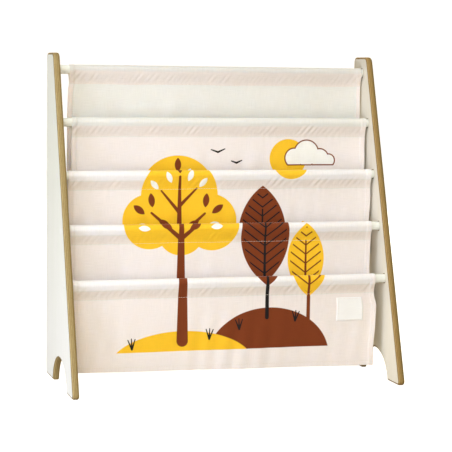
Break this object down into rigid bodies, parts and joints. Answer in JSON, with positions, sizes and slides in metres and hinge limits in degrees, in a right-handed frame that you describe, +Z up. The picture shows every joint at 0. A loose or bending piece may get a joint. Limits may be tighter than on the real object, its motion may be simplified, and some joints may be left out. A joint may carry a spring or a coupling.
{
  "type": "sling bookshelf",
  "caption": "Slanted children's bookshelf: a cloth sling hangs in stepped pockets from white rods screwed between two side panels with arched feet.",
  "frame": {"origin": "on the floor, at the middle of the shelf's width and midway between the rounded toes and the rear edges", "axes": "+X to the right as seen from the front, +Y to the rear, +Z up"},
  "size_m": [0.6128, 0.2632, 0.592],
  "materials": {
    "panel": "satin white paint on both faces, bare rounded edges",
    "rod": "gloss white paint",
    "insert": "turned",
    "screw": "zinc plated",
    "cap": "satin white",
    "cloth": "printed cotton canvas",
    "label": "bare woven satin label"
  },
  "bodies": {
    "root": {"side_panel_left": "panel", "side_panel_right": "panel", "rod_1": "rod", "rod_2": "rod", "rod_3": "rod", "rod_4": "rod", "rod_5": "rod", "rod_insert_left_1": "insert", "rod_insert_left_2": "insert", "rod_insert_left_3": "insert", "rod_insert_left_4": "insert", "rod_insert_left_5": "insert", "rod_insert_right_1": "insert", "rod_insert_right_2": "insert", "rod_insert_right_3": "insert", "rod_insert_right_4": "insert", "rod_insert_right_5": "insert", "rod_screw_left_1": "screw", "rod_screw_left_2": "screw", "rod_screw_left_3": "screw", "rod_screw_left_4": "screw", "rod_screw_left_5": "screw", "rod_screw_right_1": "screw", "rod_screw_right_2": "screw", "rod_screw_right_3": "screw", "rod_screw_right_4": "screw", "rod_screw_right_5": "screw", "screw_cap_left_1": "cap", "screw_cap_left_2": "cap", "screw_cap_left_3": "cap", "screw_cap_left_4": "cap", "screw_cap_left_5": "cap", "screw_cap_right_1": "cap", "screw_cap_right_2": "cap", "screw_cap_right_3": "cap", "screw_cap_right_4": "cap", "screw_cap_right_5": "cap", "rod_casing_1": "cloth", "rod_casing_2": "cloth", "rod_casing_3": "cloth", "rod_casing_4": "cloth", "rod_casing_5": "cloth", "pocket_sling_1": "cloth", "pocket_sling_2": "cloth", "pocket_sling_3": "cloth", "pocket_sling_4": "cloth", "label_patch": "label"}
  },
  "joints": []
}
